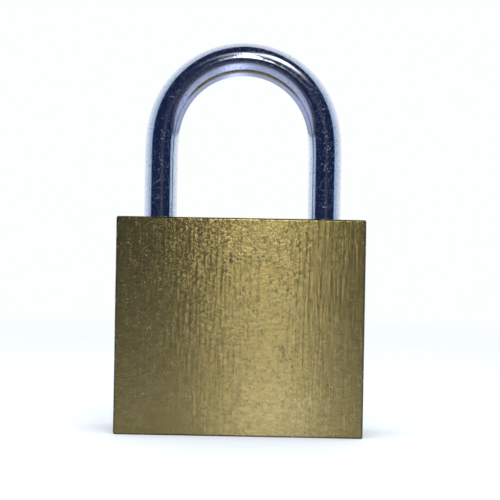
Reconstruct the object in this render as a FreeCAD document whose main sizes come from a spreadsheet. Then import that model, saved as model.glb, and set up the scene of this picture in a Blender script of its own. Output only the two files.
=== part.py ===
"""Brass padlock with a round steel shackle and a pin-tumbler plug, as a document of separate pieces.

Millimetres. +Z is up and the shackle's loop lies in the XZ plane. The origin is at the centre of the base.
The toe leg, which comes out of the block when the lock opens, is at +X, and the heel leg at -X.
Rest is the moment at which a turned key would free the shackle: the shackle is home, the latch is held back
in its channel, the pins stand at the shear line and the keyway lies along X.
"""

import FreeCAD
import Part
import Sketcher

import math
import os

SHEET_NAME = "Sizes"
PIN_NAMES = ("1", "2", "3", "4")

# Driving dimensions, in millimetres. A "gap" is a radial or one-sided clearance.
SIZES = {
    # block
    "body_width": 40.0,
    "body_height": 35.0,
    "body_depth": 14.0,
    "edge_round": 0.35,
    "mouth_chamfer": 0.3,
    # shackle
    "wire_size": 5.4,
    "leg_pitch": 26.8,
    "shackle_rise": 28.7,
    "toe_depth": 11.3,
    "toe_clear": 1.7,
    "leg_gap": 0.2,
    "toe_floor_gap": 0.3,
    "heel_floor": 2.5,
    "tip_chamfer": 0.8,
    # dog pin that keeps the heel leg in the block, and the slot and neck that it runs in
    "dog_size": 2.0,
    "dog_drop": 9.0,
    "dog_gap": 0.1,
    "dog_groove": 1.0,
    "dog_tip_gap": 0.15,
    "neck_foot": 3.5,
    # latch and its channel
    "latch_size": 4.2,
    "latch_drop": 6.5,
    "latch_gap": 0.1,
    "latch_throw": 2.0,
    "latch_bite": 1.7,
    "latch_land": 1.6,
    "latch_slot_rise": 0.1,
    "notch_floor_gap": 0.3,
    "notch_gap": 0.3,
    "channel_wall": 1.9,
    "channel_cap_lip": 0.3,
    "channel_cap_inset": 1.5,
    # plug and its retainer
    "plug_size": 10.0,
    "plug_gap": 0.06,
    "plug_recess": 0.3,
    "plug_chamfer": 0.3,
    "shoulder_gap": 0.2,
    "retainer_size": 1.6,
    "retainer_drop": 1.8,
    "retainer_gap": 0.1,
    "retainer_groove": 1.0,
    "retainer_tip_gap": 0.2,
    # keyway
    "keyway_width": 2.0,
    "keyway_reach": 3.4,
    "keyway_cover": 3.4,
    "ward_depth": 0.45,
    "ward_width": 0.9,
    "ward_low": -2.6,
    "ward_high": 0.2,
    # cam on the plug's tenon
    "tenon_width": 2.4,
    "tenon_length": 4.4,
    "tenon_height": 2.0,
    "tenon_gap": 0.05,
    "cam_size": 6.6,
    "cam_height": 4.9,
    "cam_gap": 0.2,
    "cam_under_latch": 0.5,
    "cam_pin_size": 1.6,
    "cam_pin_offset": 2.0,
    "cam_pin_slack": 0.15,
    "cam_pin_entry": 1.8,
    "cam_head_room": 0.3,
    # pin stacks
    "pin_size": 2.8,
    "pin_gap": 0.1,
    "pin_wall": 0.6,
    "first_pin_height": 4.8,
    "pin_hole_depth": 6.6,
    "pin_tip_size": 1.2,
    "pin_tip_length": 0.9,
    "pin_chamfer": 0.25,
    "shear_inset": 0.12,
    "shear_outset": 0.15,
    "key_pin_1_length": 3.4,
    "key_pin_2_length": 4.6,
    "key_pin_3_length": 4.0,
    "key_pin_4_length": 5.2,
    "driver_length": 4.6,
    "chamber_cap_lip": 0.2,
    "chamber_cap_length": 2.4,
    # pressed pieces and springs
    "press_gap": 0.01,
    "spring_end_gap": 0.05,
    "spring_side_gap": 0.15,
    "pin_spring_wire": 0.35,
    "pin_spring_turns": 9.0,
    "latch_spring_wire": 0.4,
    "latch_spring_turns": 5.0,
    "shackle_spring_wire": 0.6,
    "shackle_spring_turns": 7.0,
}

# Places and sizes worked out from the driving dimensions, in the order in which they depend on each other.
DERIVED = {
    "side_x": "body_width / 2",
    "leg_x": "leg_pitch / 2",
    "wire_radius": "wire_size / 2",
    "leg_bore_radius": "wire_radius + leg_gap",
    "arch_height": "body_height + shackle_rise - wire_radius - leg_x",
    "toe_tip_height": "body_height - toe_depth",
    "lift_travel": "toe_depth + toe_clear",
    "dog_height": "body_height - dog_drop",
    "dog_half_width": "dog_size / 2 + dog_gap",
    "dog_tip_x": "-leg_x - wire_radius + dog_groove - dog_tip_gap",
    "neck_height": "dog_height - lift_travel",
    "heel_tip_height": "neck_height - neck_foot",
    "latch_height": "body_height - latch_drop",
    "latch_nose_x": "leg_x - wire_radius + latch_bite - latch_throw",
    "latch_slot_width": "cam_pin_size + latch_throw + 2 * cam_pin_slack",
    "latch_slot_x": "-cam_pin_offset - cam_pin_size / 2 - cam_pin_slack",
    "latch_tail_x": "latch_slot_x - latch_land",
    "channel_radius": "latch_size / 2 + latch_gap",
    "channel_end_x": "-leg_x + leg_bore_radius + channel_wall",
    "channel_seat_radius": "channel_radius + channel_cap_lip",
    "channel_cap_length": "side_x - leg_x - leg_bore_radius - channel_cap_inset",
    "cam_radius": "cam_size / 2",
    "cam_top": "latch_height - latch_size / 2 - cam_under_latch",
    "cam_pin_top": "cam_top + cam_under_latch + cam_pin_entry",
    "plug_radius": "plug_size / 2",
    "plug_bore_radius": "plug_radius + plug_gap",
    "plug_top": "cam_top - cam_height",
    "keyway_top": "plug_top - keyway_cover",
    "retainer_height": "plug_top - retainer_drop",
    "retainer_tip_x": "plug_radius - retainer_groove + retainer_tip_gap",
    "pin_hole_radius": "pin_size / 2 + pin_gap",
    "pin_pitch": "2 * pin_hole_radius + pin_wall",
    "driver_x": "plug_radius + shear_outset",
    "driver_end_x": "driver_x + driver_length",
    "chamber_seat_radius": "pin_hole_radius + chamber_cap_lip",
    "chamber_cap_x": "side_x - chamber_cap_length",
}


def make_sheet(doc):
    """The spreadsheet that holds the driving dimensions as numbers and the derived places as formulas."""
    sheet = doc.addObject("Spreadsheet::Sheet", SHEET_NAME)
    row = 1
    for name, value in {**SIZES, **DERIVED}.items():
        cell = f"B{row}"
        sheet.set(f"A{row}", name)
        sheet.set(cell, f"={value}" if name in DERIVED else str(value))
        sheet.setAlias(cell, name)
        row += 1
    doc.recompute()
    return sheet


def cell(expression):
    """An expression over the sheet's aliases, with each alias written as Sizes.alias."""
    words = expression.replace("(", " ( ").replace(")", " ) ").split()
    return " ".join(full_name(word) for word in words)


def full_name(word):
    """An alias, which may have a minus sign in front, as Sizes.alias; any other word as it is."""
    sign = "-" if word.startswith("-") else ""
    alias = word[len(sign):]
    return f"{sign}{SHEET_NAME}.{alias}" if alias in SIZES or alias in DERIVED else word


class Piece:
    """One PartDesign body: sketches on its own origin planes, with every size bound to the sheet."""

    def __init__(self, doc, label):
        self.doc = doc
        self.body = doc.addObject("PartDesign::Body", label)
        self.body.Label = label
        self.count = 0

    def place(self, x="0", y="0", z="0", along_x=False):
        """Moves the piece, after turning its own +Z to +X where along_x is set (its +X then faces down)."""
        turn = FreeCAD.Rotation(FreeCAD.Vector(0, 1, 0), 90 if along_x else 0)
        self.body.Placement = FreeCAD.Placement(FreeCAD.Vector(0, 0, 0), turn)
        for axis, value in zip("xyz", (x, y, z)):
            self.body.setExpression(f"Placement.Base.{axis}", cell(value))

    def sketch(self, plane, offset="0"):
        """An empty sketch on an origin plane (XY, XZ or YZ), moved along the plane's normal by offset."""
        self.count += 1
        made = self.body.newObject("Sketcher::SketchObject", f"{self.body.Label}_sketch_{self.count}")
        origin = [f for f in self.body.Origin.OriginFeatures if f.Role == f"{plane}_Plane"][0]
        made.AttachmentSupport = (origin, [""])
        made.MapMode = "FlatFace"
        made.setExpression("AttachmentOffset.Base.z", cell(offset))
        return made

    def circle(self, plane, x, y, radius, offset="0"):
        """A sketch of one circle."""
        made = self.sketch(plane, offset)
        made.addGeometry(Part.Circle(FreeCAD.Vector(0, 0, 0), FreeCAD.Vector(0, 0, 1), 1.0), False)
        bind(made, Sketcher.Constraint("Radius", 0, 1.0), radius)
        bind(made, Sketcher.Constraint("DistanceX", -1, 1, 0, 3, 0.0), x)
        bind(made, Sketcher.Constraint("DistanceY", -1, 1, 0, 3, 0.0), y)
        return made

    def outline(self, plane, points, offset="0"):
        """A sketch of one closed outline of straight lines through points, each a pair of expressions."""
        made = self.sketch(plane, offset)
        places = [tuple(evaluate(self.doc, v) for v in p) for p in points]
        for n, start in enumerate(places):
            end = places[(n + 1) % len(places)]
            made.addGeometry(Part.LineSegment(FreeCAD.Vector(*start, 0), FreeCAD.Vector(*end, 0)), False)
        for n, (x, y) in enumerate(points):
            made.addConstraint(Sketcher.Constraint("Coincident", n, 2, (n + 1) % len(points), 1))
            bind(made, Sketcher.Constraint("DistanceX", -1, 1, n, 1, places[n][0]), x)
            bind(made, Sketcher.Constraint("DistanceY", -1, 1, n, 1, places[n][1]), y)
        return made

    def box(self, plane, low_x, low_y, high_x, high_y, offset="0"):
        """A sketch of one rectangle between two corners."""
        corners = [(low_x, low_y), (high_x, low_y), (high_x, high_y), (low_x, high_y)]
        return self.outline(plane, corners, offset)

    def feature(self, kind, profile, **bound):
        """A PartDesign feature on a profile, with its sizes bound to the sheet."""
        self.doc.recompute()
        made = self.body.newObject(f"PartDesign::{kind}", f"{self.body.Label}_{kind.lower()}_{self.count}")
        made.Profile = profile
        profile.Visibility = False
        for name, value in bound.items():
            made.setExpression(name, cell(value))
        return made

    def pad(self, profile, length):
        made = self.feature("Pad", profile, Length=length)
        self.doc.recompute()
        return made

    def pocket(self, profile, length, forward=False):
        """Cuts against the sketch's normal, or along it where forward is set, and insists that it cut."""
        before = self.volume()
        made = self.feature("Pocket", profile, Length=length)
        made.Reversed = forward
        return self.smaller(made, before)

    def turn(self, profile, kind="Revolution"):
        """Turns an XZ sketch once about the piece's Z axis."""
        before = self.volume() if kind == "Groove" else None
        made = self.feature(kind, profile)
        made.ReferenceAxis = (profile, ["V_Axis"])
        made.Angle = 360.0
        self.doc.recompute()
        return made if before is None else self.smaller(made, before)

    def repeat_up(self, features, count, pitch):
        """Repeats pockets along +Z."""
        before = self.volume()
        made = self.body.newObject("PartDesign::LinearPattern", f"{self.body.Label}_row_{self.count}")
        made.Originals = features
        made.Direction = ([f for f in self.body.Origin.OriginFeatures if f.Role == "Z_Axis"][0], [""])
        made.Mode = "Spacing"
        made.setExpression("Offset", cell(pitch))
        made.Occurrences = count
        self.body.Tip = made
        return self.smaller(made, before)

    def dress(self, kind, edges, size):
        """A Fillet or Chamfer on those edges of the tip that the edges test picks."""
        tip = self.body.Tip
        names = [f"Edge{n + 1}" for n, e in enumerate(tip.Shape.Edges) if edges(e)]
        made = self.body.newObject(f"PartDesign::{kind}", f"{self.body.Label}_{kind.lower()}_{self.count}")
        made.Base = (tip, names)
        made.setExpression("Radius" if kind == "Fillet" else "Size", cell(size))
        self.count += 1
        self.doc.recompute()
        return made

    def volume(self):
        self.doc.recompute()
        return self.body.Shape.Volume

    def smaller(self, made, before):
        self.doc.recompute()
        if not self.body.Shape.Volume < before - 1e-6:
            raise RuntimeError(f"{made.Name} cut nothing")
        return made


def bind(sketch, constraint, expression):
    """Adds a constraint to a sketch and binds its value to the sheet."""
    number = sketch.addConstraint(constraint)
    sketch.setExpression(f"Constraints[{number}]", cell(expression))


def evaluate(doc, expression):
    """The number that an expression over the sheet's aliases has now."""
    return float(doc.getObject(SHEET_NAME).evalExpression(cell(expression)))


def at_height(doc, height):
    """A test for circular edges that lie at a height."""
    level = evaluate(doc, height)

    def test(edge):
        flat = abs(edge.BoundBox.ZMin - level) < 1e-4 and abs(edge.BoundBox.ZMax - level) < 1e-4
        return flat and not edge.Degenerated and isinstance(edge.Curve, Part.Circle)

    return test


def rod(doc, label, radius, length, x, z):
    """A plain round piece along X: a pressed cap or a retaining pin."""
    made = doc.addObject("Part::Cylinder", label)
    made.Label = label
    made.setExpression("Radius", cell(radius))
    made.setExpression("Height", cell(length))
    along_x = FreeCAD.Rotation(FreeCAD.Vector(0, 1, 0), 90)
    made.Placement = FreeCAD.Placement(FreeCAD.Vector(0, 0, 0), along_x)
    made.setExpression("Placement.Base.x", cell(x))
    made.setExpression("Placement.Base.z", cell(z))
    return made


def pin_height(n):
    return f"first_pin_height + {n} * pin_pitch"


def make_block(doc):
    """The brass block: square-cut, with two shackle bores from the top, the plug's bore from below, the
    latch channel and the pin chambers from the toe side, and the dog pin's hole from the heel side."""
    block = Piece(doc, "body")
    half = "body_depth / 2"
    block.pad(block.box("XY", "-side_x", f"-{half}", "side_x", half), "body_height")
    block.dress("Fillet", lambda edge: True, "edge_round")
    toe_bore = block.circle("XY", "leg_x", "0", "leg_bore_radius", "body_height")
    block.pocket(toe_bore, "toe_depth + toe_floor_gap")
    heel_bore = block.circle("XY", "-leg_x", "0", "leg_bore_radius", "body_height")
    block.pocket(heel_bore, "body_height - heel_floor")
    block.dress("Chamfer", at_height(doc, "body_height"), "mouth_chamfer")
    block.pocket(block.circle("XY", "0", "0", "plug_bore_radius"), "plug_top + shoulder_gap", forward=True)
    cam_room = block.circle("XY", "0", "0", "cam_radius + cam_gap")
    block.pocket(cam_room, "cam_pin_top + cam_head_room", forward=True)
    channel = block.circle("YZ", "0", "latch_height", "channel_radius", "side_x")
    block.pocket(channel, "side_x - channel_end_x")
    channel_seat = block.circle("YZ", "0", "latch_height", "channel_seat_radius", "side_x")
    block.pocket(channel_seat, "channel_cap_length")
    retainer = block.circle("YZ", "0", "retainer_height", "retainer_size / 2", "side_x")
    block.pocket(retainer, "side_x - plug_radius + retainer_groove")
    dog = block.circle("YZ", "0", "dog_height", "dog_size / 2", "-side_x")
    block.pocket(dog, "side_x - leg_x", forward=True)
    row = pin_height(0)
    chamber = block.circle("YZ", "0", row, "pin_hole_radius", "side_x")
    chamber = block.pocket(chamber, "side_x - plug_bore_radius + pin_hole_radius")
    seat = block.pocket(block.circle("YZ", "0", row, "chamber_seat_radius", "side_x"), "chamber_cap_length")
    block.repeat_up([chamber, seat], len(PIN_NAMES), "pin_pitch")


def make_shackle(doc):
    """The steel shackle: one round bar bent to a half circle, with the latch's notch in its toe leg and, in
    its heel leg, the slot that the dog pin runs in."""
    shackle = Piece(doc, "shackle")
    path = shackle.sketch("XZ")
    corners = [
        ("leg_x", "toe_tip_height"),
        ("leg_x", "arch_height"),
        ("-leg_x", "arch_height"),
        ("-leg_x", "heel_tip_height"),
    ]
    places = [FreeCAD.Vector(evaluate(doc, x), evaluate(doc, z), 0) for x, z in corners]
    toe_tip, toe_top, heel_top, heel_tip = places
    centre = (toe_top + heel_top) / 2
    bend = Part.Circle(centre, FreeCAD.Vector(0, 0, 1), toe_top.x)
    half_circle = Part.ArcOfCircle(bend, 0, math.pi)
    for geometry in (Part.LineSegment(toe_tip, toe_top), half_circle, Part.LineSegment(heel_top, heel_tip)):
        path.addGeometry(geometry, False)
    for joint in ((0, 2, 1, 1), (1, 2, 2, 1)):
        path.addConstraint(Sketcher.Constraint("Coincident", *joint))
    for (x, z), (line, end) in zip(corners, ((0, 1), (0, 2), (2, 1), (2, 2))):
        bind(path, Sketcher.Constraint("DistanceX", -1, 1, line, end, evaluate(doc, x)), x)
        bind(path, Sketcher.Constraint("DistanceY", -1, 1, line, end, evaluate(doc, z)), z)
    bind(path, Sketcher.Constraint("DistanceY", -1, 1, 1, 3, centre.y), "arch_height")
    section = shackle.circle("XY", "leg_x", "0", "wire_radius", "toe_tip_height")
    bar = shackle.feature("AdditivePipe", section)
    bar.Spine = (path, ["Edge1", "Edge2", "Edge3"])
    doc.recompute()
    both_ends = (at_height(doc, "toe_tip_height"), at_height(doc, "heel_tip_height"))
    shackle.dress("Chamfer", lambda edge: any(test(edge) for test in both_ends), "tip_chamfer")
    half = "wire_radius + 1"
    notch = shackle.box(
        "XZ",
        "leg_x - wire_radius - 1",
        "latch_height - latch_size / 2 - notch_gap",
        "latch_nose_x + latch_throw + notch_floor_gap",
        "latch_height + latch_size / 2",
        f"-({half})",
    )
    shackle.pocket(notch, f"2 * ({half})", forward=True)
    slot = shackle.box(
        "YZ",
        "-dog_half_width",
        "neck_height",
        "dog_half_width",
        "dog_height + dog_half_width",
        "-leg_x - wire_radius + dog_groove",
    )
    shackle.pocket(slot, "dog_groove + 1")
    return shackle


def make_neck(doc, shackle):
    """The ring groove at the foot of the heel leg, at the low end of the dog pin's slot, in which the
    lifted shackle could turn about that leg."""
    ring = shackle.circle("XY", "-leg_x", "0", "wire_radius + 1", "neck_height + dog_half_width")
    ring.addGeometry(Part.Circle(FreeCAD.Vector(0, 0, 0), FreeCAD.Vector(0, 0, 1), 0.5), False)
    bind(ring, Sketcher.Constraint("Radius", 1, 0.5), "wire_radius - dog_groove")
    ring.addConstraint(Sketcher.Constraint("Coincident", 0, 3, 1, 3))
    shackle.pocket(ring, "2 * dog_half_width")


def make_latch(doc):
    """The sliding latch: a round bolt whose nose slopes on top, so that the toe leg can push it back, with
    a cross slot under it that is wide enough for the latch to move while the cam's pin stands still."""
    latch = Piece(doc, "latch")
    radius = "latch_size / 2"
    length = "latch_nose_x - latch_tail_x"
    latch.pad(latch.circle("XY", "0", "0", radius), length)
    slot_end = "latch_land + latch_slot_width"
    slot = latch.box("XZ", "-latch_slot_rise", "latch_land", f"{radius} + 1", slot_end, f"-{radius}")
    latch.pocket(slot, "latch_size", forward=True)
    slope = [("0", length), (f"-{radius} - 1", length), (f"-{radius} - 1", f"{length} - {radius} - 1")]
    latch.pocket(latch.outline("XZ", slope, f"-{radius}"), "latch_size", forward=True)
    latch.place("latch_tail_x", "0", "latch_height", along_x=True)


def make_plug(doc):
    """The round plug: a warded keyway open to its heel side, a row of pin holes from its toe side, the
    retainer's ring groove and a tenon on top for the cam."""
    plug = Piece(doc, "plug")
    plug.pad(plug.circle("XY", "0", "0", "plug_radius", "plug_recess"), "plug_top - plug_recess")
    plug.dress("Chamfer", at_height(doc, "plug_recess"), "plug_chamfer")
    wide, long = "tenon_width / 2", "tenon_length / 2"
    tenon = plug.box("XY", f"-{wide}", f"-{long}", wide, long, "plug_top")
    plug.pad(tenon, "tenon_height")
    low = "retainer_height - retainer_size / 2 - retainer_gap"
    high = "retainer_height + retainer_size / 2 + retainer_gap"
    plug.turn(plug.box("XZ", "plug_radius - retainer_groove", low, "plug_radius + 1", high), "Groove")
    side, ward = "keyway_width / 2", "keyway_width / 2 - ward_depth"
    keyway = [
        ("-plug_radius - 1", f"-{side}"),
        ("ward_low", f"-{side}"),
        ("ward_low", f"-({ward})"),
        ("ward_low + ward_width", f"-({ward})"),
        ("ward_low + ward_width", f"-{side}"),
        ("keyway_reach", f"-{side}"),
        ("keyway_reach", side),
        ("ward_high + ward_width", side),
        ("ward_high + ward_width", ward),
        ("ward_high", ward),
        ("ward_high", side),
        ("-plug_radius - 1", side),
    ]
    plug.pocket(plug.outline("XY", keyway, "plug_recess"), "keyway_top - plug_recess", forward=True)
    hole = plug.circle("YZ", "0", pin_height(0), "pin_hole_radius", "plug_radius")
    hole = plug.pocket(hole, "pin_hole_depth")
    plug.repeat_up([hole], len(PIN_NAMES), "pin_pitch")


def make_cam(doc):
    """The steel cam: a round boss on the plug's tenon with an off-centre pin that reaches into the latch's
    slot."""
    cam = Piece(doc, "cam")
    cam.pad(cam.circle("XY", "0", "0", "cam_radius", "plug_top"), "cam_top - plug_top")
    wide, long = "tenon_width / 2 + tenon_gap", "tenon_length / 2 + tenon_gap"
    socket = cam.box("XY", f"-({wide})", f"-({long})", wide, long, "plug_top")
    cam.pocket(socket, "tenon_height + tenon_gap", forward=True)
    cam_pin = cam.circle("XY", "0", "cam_pin_offset", "cam_pin_size / 2", "cam_top")
    cam.pad(cam_pin, "cam_pin_top - cam_top")


def make_key_pin(doc, name, height):
    """One key pin: a blunt cone that rides the key's cut, and a chamfered end that stays in the plug."""
    length = f"key_pin_{name}_length"
    pin = Piece(doc, f"key_pin_{name}")
    radius, tip = "pin_size / 2", "pin_tip_size / 2"
    profile = [
        ("0", "0"),
        (tip, "0"),
        (radius, "pin_tip_length"),
        (radius, f"{length} - pin_chamfer"),
        (f"{radius} - 2 * pin_chamfer", length),
        ("0", length),
    ]
    pin.turn(pin.outline("XZ", profile))
    pin.place(f"plug_radius - shear_inset - {length}", "0", height, along_x=True)


def make_driver_pin(doc, name, height):
    """One driver pin: a plain pin, chamfered at both ends, that waits in the block's chamber."""
    pin = Piece(doc, f"driver_pin_{name}")
    radius = "pin_size / 2"
    profile = [
        ("0", "0"),
        (f"{radius} - pin_chamfer", "0"),
        (radius, "pin_chamfer"),
        (radius, "driver_length - pin_chamfer"),
        (f"{radius} - pin_chamfer", "driver_length"),
        ("0", "driver_length"),
    ]
    pin.turn(pin.outline("XZ", profile))
    pin.place("driver_x", "0", height, along_x=True)


def make_spring(doc, label, wire, outer_radius, length, turns):
    """A compression spring of round wire along its own +Z, from its low seat, with a gap at each end."""
    spring = Piece(doc, label)
    start = f"{wire} / 2 + spring_end_gap"
    section = spring.circle("XZ", f"{outer_radius} - {wire} / 2", start, f"{wire} / 2")
    coil = spring.feature("AdditiveHelix", section)
    coil.ReferenceAxis = (coil.Profile[0], ["V_Axis"])
    coil.Mode = "height-turns-angle"
    coil.setExpression("Height", cell(f"{length} - {wire} - 2 * spring_end_gap"))
    coil.setExpression("Turns", cell(turns))
    doc.recompute()
    return spring


def make_pin_stack(doc, n, name):
    """One chamber's worth: key pin, driver pin, spring and the pressed cap that closes the chamber."""
    height = pin_height(n)
    make_key_pin(doc, name, height)
    make_driver_pin(doc, name, height)
    room = "chamber_cap_x - driver_end_x"
    coil_radius = "pin_hole_radius - spring_side_gap"
    label = f"pin_spring_{name}"
    spring = make_spring(doc, label, "pin_spring_wire", coil_radius, room, "pin_spring_turns")
    spring.place("driver_end_x", "0", height, along_x=True)
    cap_radius = "chamber_seat_radius - press_gap"
    rod(doc, f"chamber_cap_{name}", cap_radius, "chamber_cap_length", "chamber_cap_x", height)


def make_latch_spring(doc):
    radius = "latch_size / 2 - spring_side_gap"
    room = "latch_tail_x - channel_end_x"
    spring = make_spring(doc, "latch_spring", "latch_spring_wire", radius, room, "latch_spring_turns")
    spring.place("channel_end_x", "0", "latch_height", along_x=True)


def make_shackle_spring(doc):
    radius = "leg_bore_radius - spring_side_gap"
    room = "heel_tip_height - heel_floor"
    spring = make_spring(doc, "shackle_spring", "shackle_spring_wire", radius, room, "shackle_spring_turns")
    spring.place("-leg_x", "0", "heel_floor")


def make_pressed_pieces(doc):
    """The channel's cap, the plug's retaining pin and the shackle's dog pin, ground flush with the block's
    sides."""
    cap_radius = "channel_seat_radius - press_gap"
    rod(doc, "channel_cap", cap_radius, "channel_cap_length", "side_x - channel_cap_length", "latch_height")
    retainer_radius = "retainer_size / 2 - press_gap"
    retainer_length = "side_x - retainer_tip_x"
    rod(doc, "plug_retainer", retainer_radius, retainer_length, "retainer_tip_x", "retainer_height")
    dog_radius = "dog_size / 2 - press_gap"
    rod(doc, "shackle_retainer", dog_radius, "dog_tip_x + side_x", "-side_x", "dog_height")


def sub_parts(doc):
    return [o for o in doc.Objects if o.TypeId in ("PartDesign::Body", "Part::Cylinder", "Part::Feature")]


def check(doc):
    """Stops if any object failed to build, or any piece isn't a valid solid."""
    failed = [o.Name for o in doc.Objects if {"Invalid", "Error"} & set(o.State)]
    if failed:
        raise RuntimeError(f"these objects failed: {failed}")
    for part in sub_parts(doc):
        if part.Shape.isNull() or not part.Shape.isValid() or len(part.Shape.Solids) != 1:
            raise RuntimeError(f"{part.Label} isn't one valid solid")


def main():
    doc = FreeCAD.newDocument("padlock")
    make_sheet(doc)
    make_block(doc)
    make_neck(doc, make_shackle(doc))
    make_shackle_spring(doc)
    make_latch(doc)
    make_latch_spring(doc)
    make_plug(doc)
    make_cam(doc)
    for n, name in enumerate(PIN_NAMES):
        make_pin_stack(doc, n, name)
    make_pressed_pieces(doc)
    doc.recompute()
    check(doc)
    os.makedirs("parts", exist_ok=True)
    for part in sub_parts(doc):
        part.Shape.exportStep(f"parts/{part.Label}.step")


main()
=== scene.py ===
"""The looks of the brass padlock: a detailed block and shackle, and procedural metals for every piece."""

import math

import bmesh
import bpy
from mathutils import Matrix, Vector, noise


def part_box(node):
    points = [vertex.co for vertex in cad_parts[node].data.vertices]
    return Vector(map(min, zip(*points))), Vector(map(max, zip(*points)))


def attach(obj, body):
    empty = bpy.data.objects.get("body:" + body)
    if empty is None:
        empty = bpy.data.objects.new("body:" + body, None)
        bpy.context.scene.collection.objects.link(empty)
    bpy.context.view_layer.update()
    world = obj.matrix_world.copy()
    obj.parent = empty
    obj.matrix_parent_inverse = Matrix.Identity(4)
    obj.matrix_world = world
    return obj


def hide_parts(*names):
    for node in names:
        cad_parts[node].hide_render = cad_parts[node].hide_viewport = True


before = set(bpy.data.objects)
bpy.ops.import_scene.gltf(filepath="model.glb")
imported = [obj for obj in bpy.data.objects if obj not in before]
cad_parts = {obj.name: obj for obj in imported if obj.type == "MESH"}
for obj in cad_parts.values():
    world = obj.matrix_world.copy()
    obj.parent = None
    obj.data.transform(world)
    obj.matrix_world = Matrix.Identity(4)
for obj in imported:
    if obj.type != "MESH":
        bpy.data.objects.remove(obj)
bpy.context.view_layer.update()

MM = 0.001

# The camera: where it aims on the block's front face, how far off it stands and how it is turned.
CAMERA_DISTANCE = 260 * MM
CAMERA_AIM_X = 1.47 * MM
CAMERA_AIM_HEIGHT = 29.9 * MM
CAMERA_AZIMUTH = math.radians(0.73)
CAMERA_ELEVATION = math.radians(0.57)
CAMERA_ROLL = math.radians(1.02)
CAMERA_LENS = 117.2
SENSOR_WIDTH = 36.0

# The block: how far apart the planes lie that cut its outside, and how deep the outside's skin is.
BLOCK_CELL = 0.3 * MM
BLOCK_SKIN = 0.36 * MM
FLAT_ANGLE = math.radians(0.2)
SAME_POINT = 1e-7
FLAT_WEIGHT = 100

# The wear of the block's eight corners: its reach and depth, its nicks and wave, and how far the corners
# drop back from the front and the back.
EDGE_REACH = 0.5 * MM
EDGE_WEAR = 0.05 * MM
RUB_SIZE = 2.5 * MM
NICK_DEPTH = 0.16 * MM
NICK_SIZE = 0.9 * MM
NICK_SHIFT = Vector((7.0, 3.0, 5.0))
NICK_STARTS = 0.3
NICK_RANGE = 0.4
CORNER_WAVE = 0.003 * MM
WAVE_SIZE = 6.0 * MM
CORNER_DROP = 0.12 * MM

# The shackle: how finely its bar is divided, and how much of the bend eases in and out.
BAR_SIDES = 96
BEND_STEPS = 180
BEND_EASE = 0.16
LEG_STEP = 0.5 * MM
TIP_CHAMFER = 0.8 * MM

# The shackle's cuts: the latch's throw from rest, the room that the cuts leave round the latch and the dog
# pin, and how far the cutters stand out.
LATCH_THROW = 2.0 * MM
NOTCH_GAP = 0.3 * MM
NOTCH_BELOW = 0.3 * MM
DOG_GAP = 0.1 * MM
DOG_GROOVE = 1.0 * MM
NECK_FOOT = 3.5 * MM
CUT_PAST = 1.0 * MM

SHARP_ANGLE = math.radians(35)

# The studio: its plain background, its white sweep beside and behind the lock, and its dark room in front.
# The white comes forward by the flare at each side, and draws back by the lift towards the top.
BACKGROUND = (0.97, 1.0, 0.99)
SWEEP_SIDE = (0.34, 0.50, 0.74)
SWEEP_BEHIND = (1.0, 1.02, 1.08)
ROOM = (0.012, 0.019, 0.062)
SWEEP_FLARE = 0.36
SWEEP_LIFT = 0.17

# Its lights, which the camera doesn't see. A soft light is an azimuth, a width, an elevation, a height and a
# power. The strip is a narrow upright light. Angles are in degrees, from straight in front of the lock.
LIGHT_TINT = (0.96, 1.0, 1.04)
SOFT_LIGHTS = ((9.0, 19.0, 38.0, 7.0, 1.25), (22.0, 9.0, 43.0, 7.0, 4.0), (10.6, 11.0, 0.0, 14.0, 0.035))
STRIP_AZIMUTH = -0.1
STRIP_WIDTH = 0.9
STRIP_POWER = 15.0
STRIP_RISE = (6.0, 15.0)
STRIP_FALL = (45.0, 30.0)

# The lamp over the table: its place, its side and its power in watts.
LAMP_PLACE = (0.0, -0.3, 0.55)
LAMP_SIZE = 0.9
LAMP_POWER = 6.0

# The table: its edges, its colour, its painted light and shade in a reflection, where that painted shade
# darkens it, and where it fades.
TABLE_FRONT = -0.26
TABLE_BACK = 1.4
TABLE_HALF_WIDTH = 1.0
TABLE_PALE = (0.86, 0.89, 0.91)
# Painted light and painted shade, which only reflections of the table show.
TABLE_PAINTED_LIGHT = (0.80, 0.86, 1.30)
TABLE_PAINTED_SIDE_SHADE = (0.35, 0.38, 0.52)
TABLE_PAINTED_SHADE = (0.03, 0.035, 0.05)
TABLE_PAINTED_LIGHT_X = 5.5 * MM
TABLE_PAINTED_LIGHT_WIDTH = 9.0 * MM
TABLE_PAINTED_SHADE_SPAN = (-0.04, -0.15)
TABLE_FADES = (0.08, 0.40)


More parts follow.
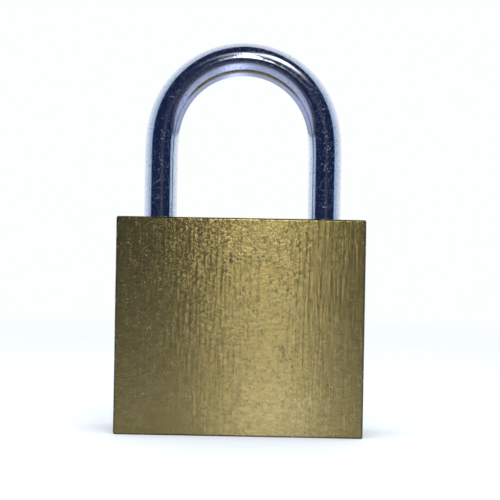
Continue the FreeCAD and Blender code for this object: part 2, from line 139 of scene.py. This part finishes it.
class Graph:
    """Adds nodes to a material's or the world's node tree, and links them as it goes."""

    def __init__(self, tree):
        self.tree = tree
        tree.nodes.clear()

    def node(self, kind, **settings):
        made = self.tree.nodes.new(f"ShaderNode{kind}")
        for name, value in settings.items():
            setattr(made, name, value)
        return made

    def feed(self, made, inputs):
        """Sets or links a node's inputs, given by name or number."""
        for key, value in inputs.items():
            socket = made.inputs[key]
            if isinstance(value, bpy.types.NodeSocket):
                self.tree.links.new(value, socket)
            else:
                socket.default_value = value
        return made

    def math(self, operation, a, b=0.0):
        return self.feed(self.node("Math", operation=operation), {0: a, 1: b}).outputs[0]

    def add(self, *values):
        total = values[0]
        for value in values[1:]:
            total = self.math("ADD", total, value)
        return total

    def times(self, first, *others):
        product = first
        for other in others:
            product = self.math("MULTIPLY", product, other)
        return product

    def step(self, value, low, high, out_low=0.0, out_high=1.0):
        """A smooth step from out_low to out_high as value goes from low to high."""
        made = self.node("MapRange", interpolation_type="SMOOTHSTEP")
        inputs = {"Value": value, "From Min": low, "From Max": high, "To Min": out_low, "To Max": out_high}
        return self.feed(made, inputs).outputs[0]

    def hump(self, value, middle, width):
        """1 where value is at the middle, falling off on both sides as a bell curve does."""
        off = self.math("DIVIDE", self.math("SUBTRACT", value, middle), width)
        return self.math("EXPONENT", self.times(off, off, -1.0))

    def split(self, vector):
        return self.feed(self.node("SeparateXYZ"), {0: vector}).outputs

    def vector_math(self, operation, a, b=(0.0, 0.0, 0.0)):
        return self.feed(self.node("VectorMath", operation=operation), {0: a, 1: b}).outputs

    def noise(self, vector, size, detail=1.0, roughness=0.5):
        """Noise with grains of about size millimetres."""
        inputs = {"Vector": vector, "Scale": 1 / (size * MM), "Detail": detail, "Roughness": roughness}
        return self.feed(self.node("TexNoise"), inputs).outputs["Fac"]

    def grain(self, vector, sizes, detail=1.0, roughness=0.5, distortion=0.0, shift=(0.0, 0.0, 0.0)):
        """Noise with grains of the given sizes along X, Y and Z, in millimetres."""
        scale = tuple(1 / (size * MM) for size in sizes)
        mapping = self.feed(self.node("Mapping"), {"Vector": vector, "Scale": scale, "Location": shift})
        inputs = {"Vector": mapping.outputs[0], "Scale": 1.0, "Detail": detail}
        inputs.update({"Roughness": roughness, "Distortion": distortion})
        return self.feed(self.node("TexNoise"), inputs).outputs["Fac"]

    def mix_colour(self, factor, a, b, blend="MIX"):
        made = self.node("Mix", data_type="RGBA", blend_type=blend)
        return self.feed(made, {"Factor": factor, "A": a, "B": b}).outputs["Result"]

    def mix_shader(self, factor, a, b):
        return self.feed(self.node("MixShader"), {0: factor, 1: a, 2: b}).outputs[0]

    def bump(self, height, distance):
        """A bump whose height runs from 0 to distance millimetres."""
        return self.feed(self.node("Bump"), {"Height": height, "Distance": distance * MM}).outputs[0]


def colour(red, green, blue):
    return (red, green, blue, 1.0)


# Metals


def metal(name, roughness, anisotropic=0.0):
    """A new metal with constant finish values, and the graph and shader that its detail goes into."""
    material = bpy.data.materials.new(name)
    material.use_nodes = True
    g = Graph(material.node_tree)
    shader = g.node("BsdfPrincipled")
    g.feed(shader, {"Metallic": 1.0, "Roughness": roughness, "Anisotropic": anisotropic})
    g.feed(g.node("OutputMaterial"), {"Surface": shader.outputs[0]})
    place = g.node("TexCoord").outputs["Object"]
    return material, g, shader, place


def edge_mask(g):
    """1 on the block's rounded edges and 0 on its flat faces."""
    largest = 0.0
    for part in g.split(g.node("NewGeometry").outputs["True Normal"]):
        largest = g.math("MAXIMUM", g.math("ABSOLUTE", part), largest)
    return g.step(largest, 0.985, 0.90)


def rubbed_area(g, place, broad):
    """How strongly the brass is creased: most in the upper middle of a face, and in broad patches."""
    across, _, height = g.split(place)
    patches = g.step(broad, 0.35, 0.65, 0.5, 1.0)
    upper = g.step(height, 16 * MM, 32 * MM, 0.7, 1.0)
    central = g.step(g.math("ABSOLUTE", across), 8 * MM, 17 * MM, 1.0, 0.35)
    return g.times(patches, upper, central)


def brass_tint(g, place, broad, creases, chips, edge):
    """Olive brass, redder in patches, with painted shade in its creases, and painted shade and fresh nicks
    along the edges.
    """
    patches = g.grain(place, (1.8, 1.8, 3.2), 2.0, shift=(2.0, 5.0, 1.0))
    olive = g.mix_colour(g.step(broad, 0.3, 0.7), colour(0.45, 0.355, 0.115), colour(0.49, 0.39, 0.14))
    patched = g.mix_colour(g.step(patches, 0.45, 0.75), olive, colour(0.50, 0.355, 0.135))
    # Painted shade: darker colour in the hollows of the crease grain, where its bump is low.
    creased = g.mix_colour(g.step(creases, 0.3, 0.7), colour(0.40, 0.31, 0.10), patched)
    # Painted shade: a near-black line along the rounded edges, broken up by noise.
    painted_edge_shade = g.times(edge, g.step(g.noise(place, 4.0), 0.75, 0.35, 0.45, 0.85))
    edge_shaded = g.mix_colour(painted_edge_shade, creased, colour(0.07, 0.06, 0.045))
    fresh = g.times(edge, g.step(chips, 0.62, 0.74))
    return g.mix_colour(fresh, edge_shaded, colour(0.86, 0.76, 0.50))


def block_brass():
    """Dull brass with a rubbed grain: fine creases, faint draw lines up the face, and small pits."""
    material, g, shader, place = metal("block_brass_finish", 0.25, 1.0)
    creases = g.grain(place, (1.35, 1.35, 0.5), 1.0, 0.5, 0.6)
    wrinkles = g.grain(place, (0.72, 0.72, 0.3), 0.5, 0.4, 0.5, (3.0, 1.0, 7.0))
    lines = g.grain(place, (0.4, 0.4, 4.0), 0.5, 0.5, 0.2)
    pits = g.step(g.noise(place, 0.45, 0.0), 0.68, 0.78)
    chips = g.noise(place, 0.45)
    broad = g.noise(place, 9.0, 2.0)
    edge = edge_mask(g)
    area = rubbed_area(g, place, broad)
    relief = g.add(
        g.times(creases, area),
        g.times(wrinkles, area, 0.9),
        g.times(lines, 0.42),
        g.times(pits, -0.8),
        g.times(chips, edge, 3.0),
    )
    tint = brass_tint(g, place, broad, creases, chips, edge)
    rough = g.step(g.add(g.times(wrinkles, 0.6), g.times(lines, 0.4)), 0.3, 0.7, 0.195, 0.225)
    upright = g.feed(g.node("CombineXYZ"), {"X": 0.0, "Y": 0.12, "Z": 1.0}).outputs[0]
    normal = g.bump(relief, 0.015)
    g.feed(shader, {"Base Color": tint, "Roughness": rough, "Normal": normal, "Tangent": upright})
    return material


def shackle_chrome():
    """Bright plated steel: smooth, with a fine orange peel and small specks that break up its highlights."""
    material, g, shader, place = metal("shackle_chrome_finish", 0.07)
    peel = g.noise(place, 0.7)
    grit = g.noise(place, 0.17, 1.0, 0.6)
    patch = g.step(g.noise(place, 1.6), 0.45, 0.6)
    specks = g.step(g.noise(place, 0.24, 0.0), 0.64, 0.74)
    relief = g.add(g.times(peel, 0.35), g.times(grit, patch, 0.8), g.times(specks, -1.8))
    tint = g.mix_colour(specks, colour(0.72, 0.75, 0.80), colour(0.50, 0.51, 0.56))
    rough = g.step(grit, 0.3, 0.7, 0.05, 0.10)
    g.feed(shader, {"Base Color": tint, "Roughness": rough, "Normal": g.bump(relief, 0.006)})
    return material


def turned_brass(name, light, dark, centre, axis, pitch=0.18, roughness=0.24):
    """Brass turned or faced on a lathe: rings about a centre, seen on the faces across the axis."""
    material, g, shader, place = metal(name, roughness)
    shift = g.vector_math("SUBTRACT", place, centre)[0]
    across = g.vector_math("MULTIPLY", shift, tuple(1.0 - part for part in axis))[0]
    radius = g.vector_math("LENGTH", across)["Value"]
    wobble = g.times(g.noise(place, 2.0), 0.5)
    rings = g.math("SINE", g.add(g.times(radius, 2 * math.pi / (pitch * MM)), wobble))
    grit = g.noise(place, 0.2, 2.0, 0.6)
    relief = g.add(g.times(rings, 0.35), g.times(grit, 0.5))
    tint = g.mix_colour(g.step(g.noise(place, 1.5, 3.0), 0.35, 0.65), dark, light)
    rough = g.step(grit, 0.3, 0.7, roughness - 0.05, roughness + 0.09)
    g.feed(shader, {"Base Color": tint, "Roughness": rough, "Normal": g.bump(relief, 0.004)})
    return material


def ground_steel():
    """Hardened steel with a fine ground grain and a trace of oil discolouring."""
    material, g, shader, place = metal("hard_steel_finish", 0.28)
    grain = g.grain(place, (1.6, 0.12, 0.12), 3.0, 0.6)
    stain = g.step(g.noise(place, 2.5, 3.0, 0.6), 0.4, 0.65)
    tint = g.mix_colour(stain, colour(0.56, 0.56, 0.57), colour(0.45, 0.43, 0.40))
    rough = g.step(grain, 0.3, 0.7, 0.2, 0.36)
    g.feed(shader, {"Base Color": tint, "Roughness": rough, "Normal": g.bump(grain, 0.003)})
    return material


def spring_wire():
    """Drawn spring wire: bright steel with fine draw marks."""
    material, g, shader, place = metal("spring_steel_finish", 0.22)
    marks = g.noise(place, 0.12, 3.0, 0.6)
    tint = g.mix_colour(g.step(marks, 0.3, 0.7), colour(0.50, 0.50, 0.52), colour(0.66, 0.66, 0.68))
    rough = g.step(marks, 0.3, 0.7, 0.16, 0.3)
    g.feed(shader, {"Base Color": tint, "Roughness": rough, "Normal": g.bump(marks, 0.002)})
    return material


# The CAD nodes that are shown as they are


def middle(node):
    low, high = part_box(node)
    return (low + high) / 2


def assign(node, material):
    """Gives a CAD node a finished material."""
    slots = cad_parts[node].data.materials
    for number in range(len(slots)):
        slots[number] = material


def finish_cad_nodes():
    """Materials for the pieces whose CAD shape is shown as it is."""
    steel = ground_steel()
    wire = spring_wire()
    bright = colour(0.66, 0.53, 0.24)
    aged = colour(0.50, 0.39, 0.16)
    dull = colour(0.50, 0.42, 0.18)
    stained = colour(0.40, 0.33, 0.14)
    along_x = (1.0, 0.0, 0.0)
    along_z = (0.0, 0.0, 1.0)
    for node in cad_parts:
        name = f"{node}_finish"
        if "spring" in node:
            assign(node, wire)
        elif node in ("latch", "cam", "plug_retainer", "shackle_retainer"):
            assign(node, steel)
        elif node == "plug":
            assign(node, turned_brass("plug_brass_finish", bright, aged, middle(node), along_z))
        elif "cap" in node:
            assign(node, turned_brass(name, dull, stained, middle(node), along_x, 0.12, 0.3))
        elif "pin" in node:
            assign(node, turned_brass(name, bright, aged, middle(node), along_x, 0.12, 0.18))


# Pieces made here


def new_mesh_object(name, bm):
    mesh = bpy.data.meshes.new(name)
    bm.to_mesh(mesh)
    bm.free()
    made = bpy.data.objects.new(name, mesh)
    bpy.context.collection.objects.link(made)
    return made


def new_piece(name, bm, material, body):
    """Turns a bmesh into a piece of the object that rides on a CAD body."""
    piece = new_mesh_object(name, bm)
    piece.data.materials.append(material)
    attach(piece, body)
    return piece


def smooth(piece):
    """Shades a piece smooth, apart from its sharp edges."""
    piece.data.shade_smooth()
    piece.data.set_sharp_from_angle(angle=SHARP_ANGLE)


# The block


def side_gaps(place, low, high):
    """How far inside each pair of the block's sides a point lies, with the way in and the axis, in order."""
    gaps = []
    for axis in range(3):
        from_low = place[axis] - low[axis]
        from_high = high[axis] - place[axis]
        way_in = 1.0 if from_low < from_high else -1.0
        gaps.append((min(from_low, from_high), way_in, axis))
    return sorted(gaps)


def is_outer(face, low, high):
    """Whether a face lies in the block's outside or rounds one of its edges, and isn't in a hole's mouth."""
    near = [axis for gap, _, axis in side_gaps(face.calc_center_median(), low, high) if gap < BLOCK_SKIN]
    if len(near) == 1:
        return abs(face.normal[near[0]]) >= 0.99
    return len(near) > 1


def cut_grid(bm, low, high):
    """Cuts the tagged outside with planes across X, Y and Z. A face that a plane cuts loses its tag, so in
    the end only the small faces at the block's eight corners are tagged."""
    for axis in range(3):
        normal = Vector([1.0 if a == axis else 0.0 for a in range(3)])
        count = round((high[axis] - low[axis]) / BLOCK_CELL)
        for n in range(1, count):
            point = low.copy()
            point[axis] = low[axis] + (high[axis] - low[axis]) * n / count
            outside = [f for f in bm.faces if f.tag]
            edges = {e for f in outside for e in f.edges}
            verts = {v for f in outside for v in f.verts}
            geometry = outside + list(edges) + list(verts)
            bmesh.ops.bisect_plane(bm, geom=geometry, plane_co=point, plane_no=normal, dist=SAME_POINT)


def wear(place, low, high):
    """How far a point at one of the block's corners has worn in, with a rub and a few nicks."""
    (_, face_way, face_axis), (edge_gap, edge_way, edge_axis) = side_gaps(place, low, high)[:2]
    face = Vector((0.0, 0.0, 0.0))
    face[face_axis] = face_way
    edge = face.copy()
    edge[edge_axis] = edge_way
    near_edge = max(0.0, 1.0 - edge_gap / EDGE_REACH)
    rub = 0.5 + 0.5 * noise.noise(place / RUB_SIZE)
    nick = max(0.0, noise.noise(place / NICK_SIZE + NICK_SHIFT) - NICK_STARTS) / NICK_RANGE
    depth = near_edge * (EDGE_WEAR * rub + NICK_DEPTH * min(nick, 1.0))
    wave = CORNER_WAVE * (0.5 + 0.5 * noise.noise(place / WAVE_SIZE))
    drop = -place.y / high.y * CORNER_DROP * (place.x / high.x) ** 2
    return edge.normalized() * depth + face * wave + Vector((0.0, drop, 0.0))


def worn_block(material):
    """The block as its CAD solid, with its eight corners worn."""
    low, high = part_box("body")
    bm = bmesh.new()
    bm.from_mesh(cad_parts["body"].data)
    bmesh.ops.remove_doubles(bm, verts=bm.verts, dist=SAME_POINT)
    bmesh.ops.dissolve_limit(bm, angle_limit=FLAT_ANGLE, verts=bm.verts, edges=bm.edges)
    for face in bm.faces:
        face.tag = is_outer(face, low, high)
    cut_grid(bm, low, high)
    for vertex in bm.verts:
        if vertex.link_faces and all(f.tag for f in vertex.link_faces):
            vertex.co += wear(vertex.co, low, high)
    piece = new_piece("block_worn", bm, material, "case")
    smooth(piece)
    weigh = piece.modifiers.new("flat_faces", "WEIGHTED_NORMAL")
    weigh.keep_sharp = True
    weigh.weight = FLAT_WEIGHT
    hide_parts("body")


# The shackle


def toe_tip_height():
    """The height of the toe leg's tip, read from the CAD shackle."""
    return min(v.co.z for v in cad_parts["shackle"].data.vertices if v.co.x > 0)


def bend_turns():
    """The bar's direction at each step round the arch, from 0 to half a turn. The bend tightens over its
    first part and slackens over its last, so that reflections run on through it."""
    ease = BEND_STEPS * BEND_EASE
    pulls = [min(n + 0.5, BEND_STEPS - n - 0.5, ease) for n in range(BEND_STEPS)]
    turns = [0.0]
    for pull in pulls:
        turns.append(turns[-1] + math.pi * pull / sum(pulls))
    return turns


def eased_arch(leg, top):
    """The arch's centres and directions, from the toe leg to the heel leg."""
    turns = bend_turns()
    x, z = 0.0, 0.0
    path = [(x, z)]
    for before, after in zip(turns, turns[1:]):
        turn = (before + after) / 2
        x -= math.sin(turn)
        z += math.cos(turn)
        path.append((x, z))
    size = -2 * leg / x
    foot = top - size * max(z for _, z in path)
    arch = []
    for (x, z), turn in zip(path, turns):
        centre = Vector((leg + size * x, 0.0, foot + size * z))
        arch.append((centre, Vector((-math.sin(turn), 0.0, math.cos(turn)))))
    return arch


def leg_rings(x, start, end, direction, radius):
    """The rings of a straight leg."""
    count = max(2, round(abs(end - start) / LEG_STEP))
    heights = [start + (end - start) * n / count for n in range(count + 1)]
    return [(Vector((x, 0.0, z)), direction, radius) for z in heights]


def bar_rings(low, high):
    """Each ring of the bar as its centre, direction and radius, from the toe's tip to the heel's foot."""
    radius = (high.y - low.y) / 2
    leg = high.x - radius
    up = Vector((0.0, 0.0, 1.0))
    toe_tip = toe_tip_height()
    arch = eased_arch(leg, high.z - radius)
    arch_foot = arch[0][0].z
    rings = [(Vector((leg, 0.0, toe_tip)), up, radius - TIP_CHAMFER)]
    rings += leg_rings(leg, toe_tip + TIP_CHAMFER, arch_foot, up, radius)
    rings += [(centre, direction, radius) for centre, direction in arch[1:-1]]
    rings += leg_rings(-leg, arch_foot, low.z + TIP_CHAMFER, -up, radius)
    rings.append((Vector((-leg, 0.0, low.z)), -up, radius - TIP_CHAMFER))
    return rings


def sweep(bm, rings):
    """Joins rings into a closed bar."""
    loops = []
    for centre, direction, radius in rings:
        across = Vector((0.0, 1.0, 0.0))
        out = direction.cross(across)
        loop = []
        for n in range(BAR_SIDES):
            turn = 2 * math.pi * n / BAR_SIDES
            loop.append(bm.verts.new(centre + radius * (math.cos(turn) * across + math.sin(turn) * out)))
        loops.append(loop)
    for a, b in zip(loops, loops[1:]):
        for n in range(BAR_SIDES):
            m = (n + 1) % BAR_SIDES
            bm.faces.new((a[n], a[m], b[m], b[n]))
    bm.faces.new(list(reversed(loops[0])))
    bm.faces.new(loops[-1])
    bmesh.ops.recalc_face_normals(bm, faces=bm.faces)


def box_cutter(name, low, high):
    bm = bmesh.new()
    place = Matrix.Translation((low + high) / 2) @ Matrix.Diagonal((*(high - low), 1.0))
    bmesh.ops.create_cube(bm, size=1.0, matrix=place)
    return new_mesh_object(name, bm)


def ring_cutter(name, x, inner, outer, low, high):
    """A flat ring about an upright axis, which cuts a neck."""
    bm = bmesh.new()
    corners = [(inner, low), (outer, low), (outer, high), (inner, high)]
    loops = []
    for n in range(BAR_SIDES):
        turn = 2 * math.pi * n / BAR_SIDES
        points = [(x + r * math.cos(turn), r * math.sin(turn), z) for r, z in corners]
        loops.append([bm.verts.new(point) for point in points])
    for a, b in zip(loops, loops[1:] + loops[:1]):
        for n in range(len(corners)):
            m = (n + 1) % len(corners)
            bm.faces.new((a[n], b[n], b[m], a[m]))
    bmesh.ops.recalc_face_normals(bm, faces=bm.faces)
    return new_mesh_object(name, bm)


def cut(piece, tool):
    """Subtracts a cutter from a piece and deletes the cutter."""
    change = piece.modifiers.new("cut", "BOOLEAN")
    change.object = tool
    change.operation = "DIFFERENCE"
    change.solver = "EXACT"
    bpy.context.view_layer.update()
    evaluated = piece.evaluated_get(bpy.context.evaluated_depsgraph_get())
    mesh = bpy.data.meshes.new_from_object(evaluated)
    piece.modifiers.clear()
    piece.data = mesh
    bpy.data.objects.remove(tool)


def cut_notch(piece, leg, radius):
    """The latch's notch in the toe leg."""
    latch_low, latch_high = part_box("latch")
    low = Vector((leg - radius - CUT_PAST, -radius - CUT_PAST, latch_low.z - NOTCH_BELOW))
    high = Vector((latch_high.x + LATCH_THROW + NOTCH_GAP, radius + CUT_PAST, latch_high.z))
    cut(piece, box_cutter("notch", low, high))


def cut_dog_slot(piece, leg, radius, foot):
    """The dog pin's slot up the heel leg, and the neck at the slot's lower end."""
    dog_low, dog_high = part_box("shackle_retainer")
    half = (dog_high.z - dog_low.z) / 2 + DOG_GAP
    dog_height = (dog_low.z + dog_high.z) / 2
    neck = foot + NECK_FOOT
    floor_x = -leg - radius + DOG_GROOVE
    low = Vector((floor_x - 2 * CUT_PAST, -half, neck))
    high = Vector((floor_x, half, dog_height + half))
    cut(piece, box_cutter("slot", low, high))
    cut(piece, ring_cutter("neck", -leg, radius - DOG_GROOVE, radius + CUT_PAST, neck - half, neck + half))


def fine_shackle(material):
    """The shackle as one smooth bent bar, with the cuts in its two legs."""
    low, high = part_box("shackle")
    radius = (high.y - low.y) / 2
    leg = high.x - radius
    bm = bmesh.new()
    sweep(bm, bar_rings(low, high))
    piece = new_piece("shackle_bar", bm, material, "shackle_body")
    cut_notch(piece, leg, radius)
    cut_dog_slot(piece, leg, radius, low.z)
    smooth(piece)
    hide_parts("shackle")


# The studio


def studio_room(g, x, front, z):
    """A white sweep behind and beside the lock, and a dark room in front of it."""
    lift = g.times(g.math("POWER", g.math("MAXIMUM", z, 0.0), 2.0), SWEEP_LIFT)
    flare = g.times(g.math("ABSOLUTE", x), SWEEP_FLARE)
    side = g.add(g.math("SUBTRACT", front, flare), lift)
    behind = g.step(front, 0.5, -0.9)
    white = g.mix_colour(behind, colour(*SWEEP_SIDE), colour(*SWEEP_BEHIND))
    return g.mix_colour(g.step(side, 0.05, -0.02), colour(*ROOM), white)


def studio_lights(g, x, front, z):
    """The soft lights and the upright strip, high in front of the lock."""
    azimuth = g.times(g.math("ARCTAN2", x, front), 180 / math.pi)
    elevation = g.times(g.math("ARCSINE", z), 180 / math.pi)
    rise = g.step(elevation, *STRIP_RISE)
    fall = g.step(elevation, *STRIP_FALL)
    lights = [g.times(g.hump(azimuth, STRIP_AZIMUTH, STRIP_WIDTH), rise, fall, STRIP_POWER)]
    for at, width, up, height, power in SOFT_LIGHTS:
        lights.append(g.times(g.hump(azimuth, at, width), g.hump(elevation, up, height), power))
    return g.mix_colour(1.0, g.add(*lights), colour(*LIGHT_TINT), "MULTIPLY")


def environment():
    """The studio that the metal mirrors, and a plain white background for the camera."""
    world = bpy.data.worlds.new("studio")
    bpy.context.scene.world = world
    world.use_nodes = True
    g = Graph(world.node_tree)
    x, y, z = g.split(g.node("TexCoord").outputs["Generated"])
    front = g.math("MULTIPLY", y, -1.0)
    mirrored = g.mix_colour(1.0, studio_room(g, x, front, z), studio_lights(g, x, front, z), "ADD")
    studio = g.feed(g.node("Background"), {"Color": mirrored}).outputs[0]
    plain = g.feed(g.node("Background"), {"Color": colour(*BACKGROUND)}).outputs[0]
    camera_ray = g.node("LightPath").outputs["Is Camera Ray"]
    g.feed(g.node("OutputWorld"), {"Surface": g.mix_shader(camera_ray, studio, plain)})


def table_white():
    """Pale and plain, fading into the background far from the lock. A reflection shows it with painted light
    and shade instead: a painted pool of light near the block's middle, painted shade to its sides, and dark
    painted shade towards the camera."""
    material = bpy.data.materials.new("table_white")
    material.use_nodes = True
    g = Graph(material.node_tree)
    place = g.node("TexCoord").outputs["Object"]
    x, depth, _ = g.split(place)
    # Painted light and shade for reflections: a bright pool near the block's middle, duller to its sides,
    # dark towards the camera.
    bright = g.hump(x, TABLE_PAINTED_LIGHT_X, TABLE_PAINTED_LIGHT_WIDTH)
    near = g.mix_colour(bright, colour(*TABLE_PAINTED_SIDE_SHADE), colour(*TABLE_PAINTED_LIGHT))
    painted_reflection = g.mix_colour(g.step(depth, *TABLE_PAINTED_SHADE_SPAN), near, colour(*TABLE_PAINTED_SHADE))
    glossy_ray = g.node("LightPath").outputs["Is Glossy Ray"]
    tint = g.mix_colour(glossy_ray, colour(*TABLE_PALE), painted_reflection)
    distance = g.vector_math("LENGTH", place)["Value"]
    far = g.times(g.step(distance, *TABLE_FADES), g.math("SUBTRACT", 1.0, glossy_ray))
    shader = g.node("BsdfPrincipled")
    g.feed(shader, {"Base Color": tint, "Roughness": 0.6, "Specular IOR Level": 0.1})
    glow = g.feed(g.node("Emission"), {"Color": colour(*BACKGROUND), "Strength": 1.0})
    g.feed(g.node("OutputMaterial"), {"Surface": g.mix_shader(far, shader.outputs[0], glow.outputs[0])})
    return material


def table():
    """The table top under the lock."""
    bm = bmesh.new()
    front = [(-TABLE_HALF_WIDTH, TABLE_FRONT), (TABLE_HALF_WIDTH, TABLE_FRONT)]
    back = [(TABLE_HALF_WIDTH, TABLE_BACK), (-TABLE_HALF_WIDTH, TABLE_BACK)]
    bm.faces.new([bm.verts.new((x, y, 0.0)) for x, y in front + back])
    top = new_mesh_object("table", bm)
    top.data.materials.append(table_white())


def overhead_lamp():
    """A soft square lamp above and in front of the lock, left out of reflections."""
    data = bpy.data.lights.new("overhead", "AREA")
    data.shape = "SQUARE"
    data.size = LAMP_SIZE
    data.energy = LAMP_POWER
    lamp = bpy.data.objects.new("overhead", data)
    bpy.context.collection.objects.link(lamp)
    lamp.location = LAMP_PLACE
    lamp.rotation_euler = (-Vector(LAMP_PLACE)).to_track_quat("-Z", "Y").to_euler()
    lamp.visible_glossy = False


def camera():
    """The camera, in front of the block and a little above its middle."""
    data = bpy.data.cameras.new("camera")
    data.lens = CAMERA_LENS
    data.sensor_width = SENSOR_WIDTH
    data.clip_start = 0.01
    eye = bpy.data.objects.new("camera", data)
    bpy.context.collection.objects.link(eye)
    aim = Vector((CAMERA_AIM_X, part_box("body")[0].y, CAMERA_AIM_HEIGHT))
    flat = math.cos(CAMERA_ELEVATION)
    side = math.sin(CAMERA_AZIMUTH) * flat
    ahead = math.cos(CAMERA_AZIMUTH) * flat
    way = Vector((side, -ahead, math.sin(CAMERA_ELEVATION)))
    place = Matrix.Translation(aim + CAMERA_DISTANCE * way)
    turn = (-way).to_track_quat("-Z", "Y").to_matrix().to_4x4()
    eye.matrix_world = place @ turn @ Matrix.Rotation(CAMERA_ROLL, 4, "Z")
    bpy.context.scene.camera = eye


camera()
environment()
table()
overhead_lamp()
finish_cad_nodes()
worn_block(block_brass())
fine_shackle(shackle_chrome())

scene = bpy.context.scene
scene.view_settings.view_transform = "Standard"
scene.view_settings.look = "None"
